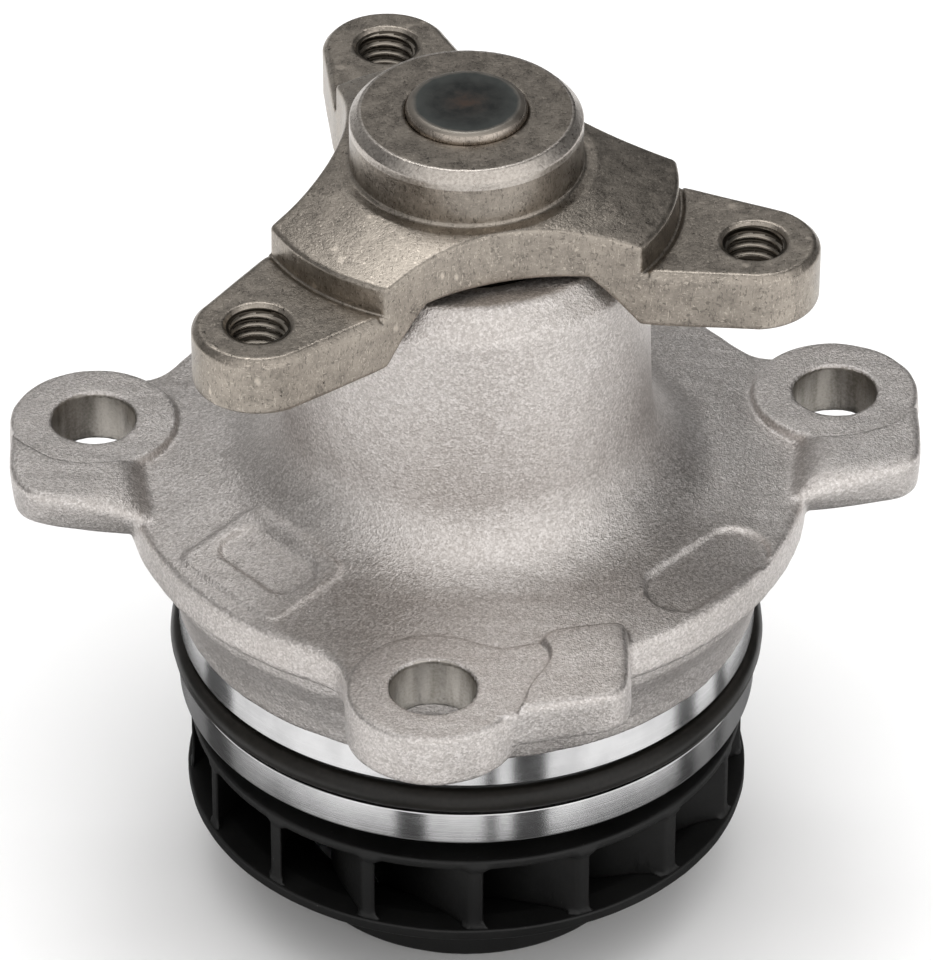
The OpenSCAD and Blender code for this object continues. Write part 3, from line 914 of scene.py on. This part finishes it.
def worn_steel(name, tint, low, high, scratched=0.5, line_depth=0.0):
    """Steel with a stained skin, dark specks and short fine scratches. tint is its middle colour."""
    m = Paint(name, Metallic=1.0)
    mottle = m.noise(420, 5, 0.7)
    cloud = m.noise(40, 3, 0.6)
    fine = m.noise(2600, 3, 0.65)
    base = m.colours(
        m.weighted(0.75, mottle, cloud),
        (0.38, shade(tint, 0.7)), (0.5, tint), (0.62, shade(tint, 1.28)))
    base = m.mix(m.band(fine, 0.35, 0.65, 0.0, 0.32), base, shade(tint, 1.6))
    dark = m.strokes(1000, 0.66, (1, 5, 1.4), (4.5, 1, 1), (3.6, 3.6, 1))
    base = m.mix(m.times(dark, 0.6), base, shade(tint, 0.42))
    light = m.strokes(1150, 0.68, (1, 6, 1.2), (5.5, 1.2, 1), (4, 4, 1.5), (1.3, 1, 5))
    base = m.mix(m.times(light, scratched), base, shade(tint, 2.3))
    speck = m.band(m.noise(1300, 3, 0.65), 0.27, 0.34)
    base = m.mix(speck, shade(tint, 0.3), base)
    # Lighter along convex edges: partly bright worn burrs, partly a painted highlight
    base = m.mix(m.times(m.edges(0.54, 0.62), 0.6), base, shade(tint, 2.3))
    rough = m.band(m.maths("ADD", mottle, fine), 0.75, 1.25, low, high)
    normal = m.bump(mottle, 0.00014, 0.5)
    normal = m.bump(fine, 0.00006, 0.6, normal)
    normal = m.bump(light, 0.00003, -0.6, normal)
    if line_depth:
        normal = m.bump(m.rings(TURNED_LINES), line_depth, 0.6, normal)
        # The boss's chamfer is turned clean
        rim = m.times(m.band(m.radius(), 0.01362, 0.01368), m.band(m.height(), 0.05985, 0.05990))
        clean = m.colours(fine, (0.35, (0.40, 0.365, 0.33)), (0.65, (0.62, 0.575, 0.53)))
        base = m.mix(m.times(rim, 0.85), base, clean)
    return m.set(base, rough, normal)


def turned_steel(name, tint, low, high):
    """Plain steel with fine turned lines. low and high are its least and most roughness."""
    m = Paint(name, Metallic=1.0)
    lines = m.rings(TURNED_LINES)
    stain = m.noise(240, 4, 0.6)
    base = m.colours(m.weighted(0.4, lines, stain), (0.35, shade(tint, 0.7)), (0.62, tint))
    return m.set(base, m.band(stain, 0.3, 0.7, low, high), m.bump(lines, 0.00001, 0.6))


def shaft_face():
    """Dark scale on the shaft's end, paler towards the edge, with a rusty middle and faint rings."""
    m = Paint("shaft_end", Metallic=1.0)
    away = m.radius()
    stain = m.noise(420, 4, 0.65)
    base = m.colours(stain, (0.35, (0.045, 0.048, 0.047)), (0.65, (0.075, 0.077, 0.073)))
    base = m.mix(m.band(away, 0.0042, 0.0064, 0.0, 0.55), base, (0.12, 0.13, 0.125))
    rust = m.times(m.band(away, 0.0035, 0.0008), m.band(stain, 0.4, 0.62, 0.1, 0.7))
    base = m.mix(rust, base, (0.11, 0.072, 0.055))
    worn = m.band(m.maths("ADD", away, m.times(stain, 0.0006)), 0.0068, 0.0076)
    base = m.mix(worn, base, (0.3, 0.27, 0.235))
    normal = m.bump(m.rings(2600), 0.00003, 0.5)
    normal = m.bump(stain, 0.00003, 0.5, normal)
    return m.set(base, m.band(stain, 0.3, 0.7, 0.36, 0.5), normal)


def matt(name, dark, light, rough_low, rough_high, shine=0.5):
    """Anything that isn't metal: a fine grain and a soft cloudiness between two colours."""
    m = Paint(name)
    m.shader.inputs["Specular IOR Level"].default_value = shine
    grain = m.noise(1400, 4, 0.6)
    cloud = m.noise(90, 3)
    base = m.colours(m.weighted(0.45, grain, cloud), (0.38, dark), (0.62, light))
    return m.set(base, m.band(cloud, 0.3, 0.7, rough_low, rough_high), m.bump(grain, 0.00002, 0.5))


def moulded_plastic():
    """Black plastic with small pale specks."""
    m = Paint("impeller_plastic")
    m.shader.inputs["Specular IOR Level"].default_value = 0.3
    grain = m.noise(1800, 3, 0.6)
    cloud = m.noise(60, 4, 0.6)
    base = m.colours(cloud, (0.35, (0.004, 0.004, 0.004)), (0.65, (0.0075, 0.0075, 0.0072)))
    speck = m.band(m.noise(2600, 1), 0.80, 0.84)
    base = m.mix(m.times(speck, 0.5), base, (0.2, 0.195, 0.18))
    rough = m.band(m.maths("ADD", grain, cloud), 0.75, 1.25, 0.4, 0.55)
    return m.set(base, rough, m.bump(grain, 0.00004, 0.5))


CAST = cast_aluminium()
MACHINED = machined_aluminium()
DRILLED_SHADED = drilled_shaded_aluminium()
HUB = worn_steel("hub_steel", (0.3, 0.268, 0.231), 0.27, 0.43)
BOSS = worn_steel("hub_turned", (0.265, 0.236, 0.203), 0.25, 0.41, 0.3, 0.00001)
THREAD = turned_steel("thread_steel", (0.36, 0.325, 0.28), 0.2, 0.34)
# The thread roots are painted near black: painted shade in the grooves
THREAD_ROOT = turned_steel("thread_root_painted_shade", (0.07, 0.06, 0.048), 0.3, 0.45)
SHAFT_SIDE = worn_steel("shaft_ground", (0.34, 0.30, 0.26), 0.22, 0.36, 0.2)
SHAFT_END = shaft_face()
O_RING = matt("o_ring_rubber", (0.006, 0.0055, 0.0045), (0.013, 0.0115, 0.0095), 0.28, 0.42, 0.26)
SEAL = matt("seal_rubber", (0.012, 0.012, 0.012), (0.03, 0.03, 0.03), 0.45, 0.6)
PLASTIC = moulded_plastic()

FINISHES = {
    "bearing_outer_ring": turned_steel("bearing_ring_steel", (0.66, 0.66, 0.65), 0.18, 0.3),
    "bearing_balls": turned_steel("ball_steel", (0.8, 0.8, 0.8), 0.06, 0.12),
    "bearing_seal_hub_side": SEAL,
    "bearing_seal_pump_side": SEAL,
    "ball_cage": matt("cage_polymer", (0.62, 0.56, 0.4), (0.72, 0.66, 0.5), 0.4, 0.55),
    "seal_case": turned_steel("brass_case", (0.72, 0.5, 0.2), 0.22, 0.36),
    "seal_spring": turned_steel("spring_wire", (0.7, 0.7, 0.7), 0.2, 0.3),
    "seal_carbon_ring": matt("carbon_graphite", (0.02, 0.02, 0.022), (0.045, 0.045, 0.05), 0.25, 0.4),
    "seal_seat_ring": matt("seat_ceramic", (0.78, 0.76, 0.68), (0.86, 0.84, 0.78), 0.15, 0.25),
    "seal_sleeve": turned_steel("sleeve_stainless", (0.68, 0.68, 0.68), 0.2, 0.32),
    "impeller_insert": turned_steel("insert_steel", (0.5, 0.48, 0.44), 0.28, 0.42),
}
FINISHES["bearing_rollers"] = FINISHES["bearing_balls"]
FINISHES["roller_cage"] = FINISHES["ball_cage"]
FINISHES["seal_bellows"] = SEAL
FINISHES["seal_seat_boot"] = SEAL


def paint(obj, *materials):
    """Gives a piece of the visual model its materials."""
    obj.data.materials.clear()
    for m in materials:
        obj.data.materials.append(m)


def paint_where(obj, index, test):
    """Gives the faces whose middle passes a test, in millimetres, another of the object's materials."""
    count = len(obj.data.polygons)
    middle = np.zeros(count * 3, np.float32)
    obj.data.polygons.foreach_get("center", middle)
    x, y, z = middle.reshape(-1, 3).T / MM
    chosen = np.zeros(count, np.int32)
    obj.data.polygons.foreach_get("material_index", chosen)
    chosen[test(x, y, z)] = index
    obj.data.polygons.foreach_set("material_index", chosen)


def tap_distance(x, y):
    """Distance to the axis of the nearest tapped hole."""
    axes = [(TAP_RING_R * math.cos(a), TAP_RING_R * math.sin(a)) for a in ARM_ANGLES]
    return np.min([np.hypot(x - ax, y - ay) for ax, ay in axes], 0)


for node, finish in FINISHES.items():
    for slot in frame["nodes"][node].material_slots:
        slot.material = finish

for node, piece in flexing_pieces.items():
    paint(piece, FINISHES[node])
paint(body_casting, CAST, MACHINED, DRILLED_SHADED)
paint_where(body_casting, 1, lambda x, y, z: (np.hypot(x, y) < BORE_R) & (z > 5))
# The lugs' hole walls: drilled streaks, darkened with painted shade
for lug_x, lug_y in LUGS:
    paint_where(body_casting, 2, lambda x, y, z: np.hypot(x - lug_x, y - lug_y) < HOLE_R + 0.12)
paint(spigot, MACHINED)
paint(o_ring, O_RING)
paint(pulley_hub, HUB, BOSS)
paint_where(pulley_hub, 1, lambda x, y, z: (np.hypot(x, y) < BOSS_R + 0.4) & (z > 54.6))
for piece in threads:
    paint(piece, THREAD, THREAD_ROOT)
    # Faces deep in each thread's grooves take the painted shade
    paint_where(piece, 1, lambda x, y, z: tap_distance(x, y) > THREAD_ROOT_R)
paint(shaft, SHAFT_SIDE, SHAFT_END)
paint_where(shaft, 1, lambda x, y, z: (np.hypot(x, y) < SHAFT_FACE_R) & (z > SHAFT_TOP - 0.5))
paint(impeller_wheel, PLASTIC)
paint(shroud, PLASTIC)

# ---------------------------------------------------------------- stage, light and camera


def aim(obj, target):
    """Turns a light or a camera towards a place."""
    obj.rotation_mode = "QUATERNION"
    direction = np.array(target, float) - np.array(obj.location)
    obj.rotation_quaternion = Vector(direction).to_track_quat("-Z", "Y")


def area_light(name, place, size, power):
    """A rectangular light that shines at the object's middle."""
    data = bpy.data.lights.new(name, "AREA")
    data.shape = "RECTANGLE"
    data.size, data.size_y = size
    data.energy = power
    obj = bpy.data.objects.new(name, data)
    scene.collection.objects.link(obj)
    obj.location = place
    aim(obj, (0, 0, 0))
    return obj


scene = bpy.context.scene
floor_z = cad_low[2]
bpy.ops.mesh.primitive_grid_add(x_subdivisions=4, y_subdivisions=4, size=6, location=(0, 0, floor_z))
floor = bpy.context.object
floor.name = "floor"


def plain(name, rough, scale, low, high):
    """A matt grey that drifts softly between two shades."""
    m = Paint(name, Roughness=rough)
    return m.set(m.colours(m.noise(scale), (0.3, (low, low, low)), (0.7, (high, high, high))))


paint(floor, plain("floor_pale", 0.7, 3, 0.90, 0.93))

# The studio: an even grey, with soft bright patches. Each is an axis, the angles at which it is full
# and gone, and a strength.
SKY_BASE = 0.09
SKY_PATCHES = [
    ((0.12, -0.82, 0.55), 35, 74, 1.15),
    ((-0.45, 0.75, 0.4), 10, 55, 0.26),
    ((-0.9, -0.45, 0.1), 10, 50, 0.12),
    ((0.85, -0.4, 0.2), 10, 50, 0.4),
]
world = bpy.data.worlds.new("studio")
scene.world = world
world.use_nodes = True
sky = world.node_tree
background = sky.nodes["Background"]
background.inputs["Color"].default_value = (1, 0.992, 0.985, 1)
toward = add_node(sky, "ShaderNodeTexCoord", {}, {}).outputs["Generated"]
strength = SKY_BASE
for axis, full, gone, most in SKY_PATCHES:
    unit = np.array(axis) / np.linalg.norm(axis)
    facing = add_node(
        sky, "ShaderNodeVectorMath", {0: toward, 1: tuple(unit)}, {"operation": "DOT_PRODUCT"})
    patch = add_node(sky, "ShaderNodeMapRange", {
        "Value": facing.outputs["Value"], "To Min": 0.0, "To Max": most,
        "From Min": math.cos(math.radians(gone)), "From Max": math.cos(math.radians(full)),
    }, {"interpolation_type": "SMOOTHSTEP"})
    strength = add_node(
        sky, "ShaderNodeMath", {0: patch.outputs[0], 1: strength}, {"operation": "ADD"}).outputs[0]
sky.links.new(strength, background.inputs["Strength"])

area_light("overhead", (-0.06, 0.46, 1.12), (0.6, 0.42), 3.2)
floor_fill = area_light("floor_fill", (0.0, 0.0, 1.6), (2.0, 2.0), 22.5)
floor_fill.visible_glossy = False


def floor_card(name, points, faces, material):
    """A card on the floor that only reflections see."""
    card = mesh_from(name, points, faces)
    paint(card, material)
    card.visible_camera = card.visible_diffuse = card.visible_shadow = False


# A grey ring on the floor deepens the shade under the flange
RING_SIDES = 64
RING_REACH = (30, 80)
turns = np.linspace(0, 2 * math.pi, RING_SIDES, endpoint=False)
points = [(r * math.cos(a), r * math.sin(a), floor_z / MM + 0.3) for a in turns for r in RING_REACH]
count = len(points)
faces = [(k, k + 1, (k + 3) % count, (k + 2) % count) for k in range(0, count, 2)]
floor_card("card_ring", points, faces, plain("ring_card", 0.9, 30, 0.16, 0.24))

# Dark cards show in the spigot's land, each between two angles from the front
CARD_SPANS = [(-64, -54), (-14, -8), (3.5, 6), (9, 16), (46, 52), (59, 63)]
CARD_REACH = (20, 130)
dark_card = plain("dark_card", 0.9, 30, 0.03, 0.06)
for i, (start, end) in enumerate(CARD_SPANS):
    points = []
    for turn in np.radians(np.linspace(start, end, 9)):
        foot = np.array([math.sin(turn), -math.cos(turn)]) * LAND_R
        away = np.array([math.sin(2 * turn), -math.cos(2 * turn)])
        points += [(*(foot + away * reach), floor_z / MM + 0.4) for reach in CARD_REACH]
    faces = [(k, k + 1, k + 3, k + 2) for k in range(0, len(points) - 2, 2)]
    floor_card(f"card_{i + 1}", points, faces, dark_card)

scene.view_settings.view_transform = "Standard"

# A long lens at the front, tilted down by an angle in radians
CAMERA_TARGET = (0, 0, 0.0028)
CAMERA_DISTANCE = 1.0577
CAMERA_TILT = 0.6371
camera_data = bpy.data.cameras.new("camera")
camera_data.lens = 297.1
camera_data.sensor_width = 36
camera_data.clip_start, camera_data.clip_end = 0.05, 20
camera = bpy.data.objects.new("camera", camera_data)
scene.collection.objects.link(camera)
scene.camera = camera
camera.location = (
    0,
    -CAMERA_DISTANCE * math.cos(CAMERA_TILT),
    CAMERA_TARGET[2] + CAMERA_DISTANCE * math.sin(CAMERA_TILT),
)
aim(camera, CAMERA_TARGET)
